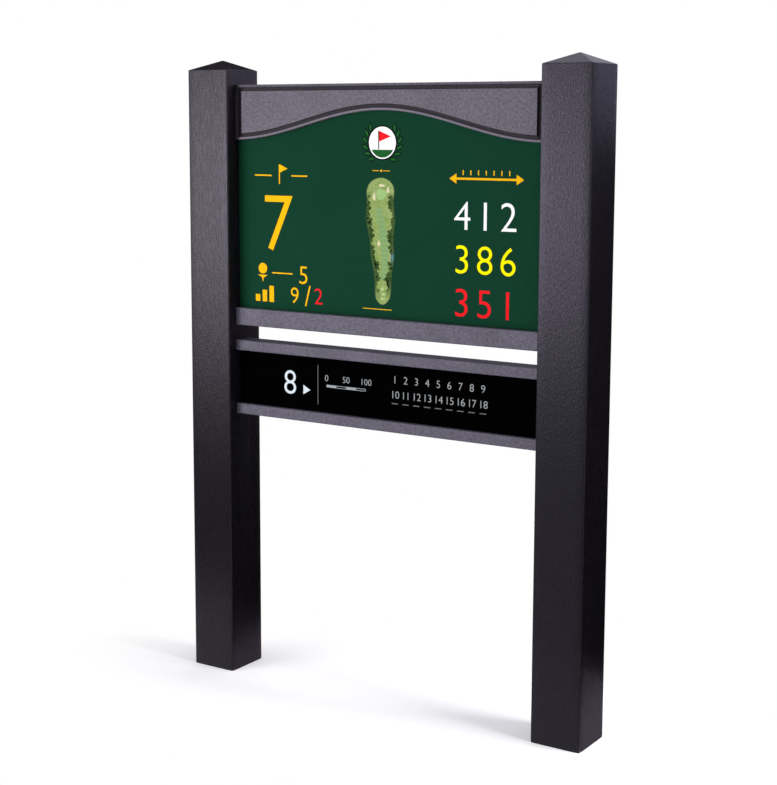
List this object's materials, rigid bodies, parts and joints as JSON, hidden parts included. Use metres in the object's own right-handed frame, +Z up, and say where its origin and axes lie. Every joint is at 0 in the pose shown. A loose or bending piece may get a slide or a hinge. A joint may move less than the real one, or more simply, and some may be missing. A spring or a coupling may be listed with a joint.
{
  "type": "golf tee sign",
  "caption": "Golf tee sign: square posts with weathered tops carry an arched header board and cross rails, which frame a printed hole panel above a low notice panel.",
  "frame": {"origin": "on the ground, midway between the posts and midway through their thickness", "axes": "+Z up along the posts, +X from the left post to the right post, -Y out of the printed faces"},
  "size_m": [0.888, 0.1, 1.24],
  "materials": {
    "post_plastic": "charcoal recycled plastic, satin, with a fine upright brushed grain",
    "header_plastic": "charcoal recycled plastic, satin, machined bead, fine mottled stipple",
    "rail_plastic": "charcoal recycled plastic, satin, fine mottled stipple",
    "main_panel_sheet": "aluminium composite sheet with a dark green printed film, satin",
    "lower_panel_sheet": "aluminium composite sheet with a black film, satin",
    "backing_board": "solid plastic board, smooth, matte",
    "foam_tape": "closed-cell foam tape, matte",
    "strip_plastic": "charcoal recycled plastic, sawn and sanded, satin",
    "screw_steel": "stainless steel, countersunk head with a hexagon socket"
  },
  "bodies": {
    "root": {"left_post": "post_plastic", "right_post": "post_plastic", "header_board": "header_plastic", "main_rail": "rail_plastic", "lower_panel_top_rail": "rail_plastic", "lower_panel_bottom_rail": "rail_plastic", "main_panel_face": "main_panel_sheet", "main_panel_backing": "backing_board", "main_panel_seals": "foam_tape", "lower_panel_face": "lower_panel_sheet", "lower_panel_backing": "backing_board", "lower_panel_seals": "foam_tape", "main_panel_top_strip": "strip_plastic", "main_panel_bottom_strip": "strip_plastic", "main_panel_left_strip": "strip_plastic", "main_panel_right_strip": "strip_plastic", "lower_panel_top_strip": "strip_plastic", "lower_panel_bottom_strip": "strip_plastic", "lower_panel_left_strip": "strip_plastic", "lower_panel_right_strip": "strip_plastic", "header_tenon_screws": "screw_steel", "main_rail_tenon_screws": "screw_steel", "slim_rail_tenon_screws": "screw_steel", "main_panel_strip_screws": "screw_steel", "lower_panel_strip_screws": "screw_steel"}
  },
  "joints": []
}
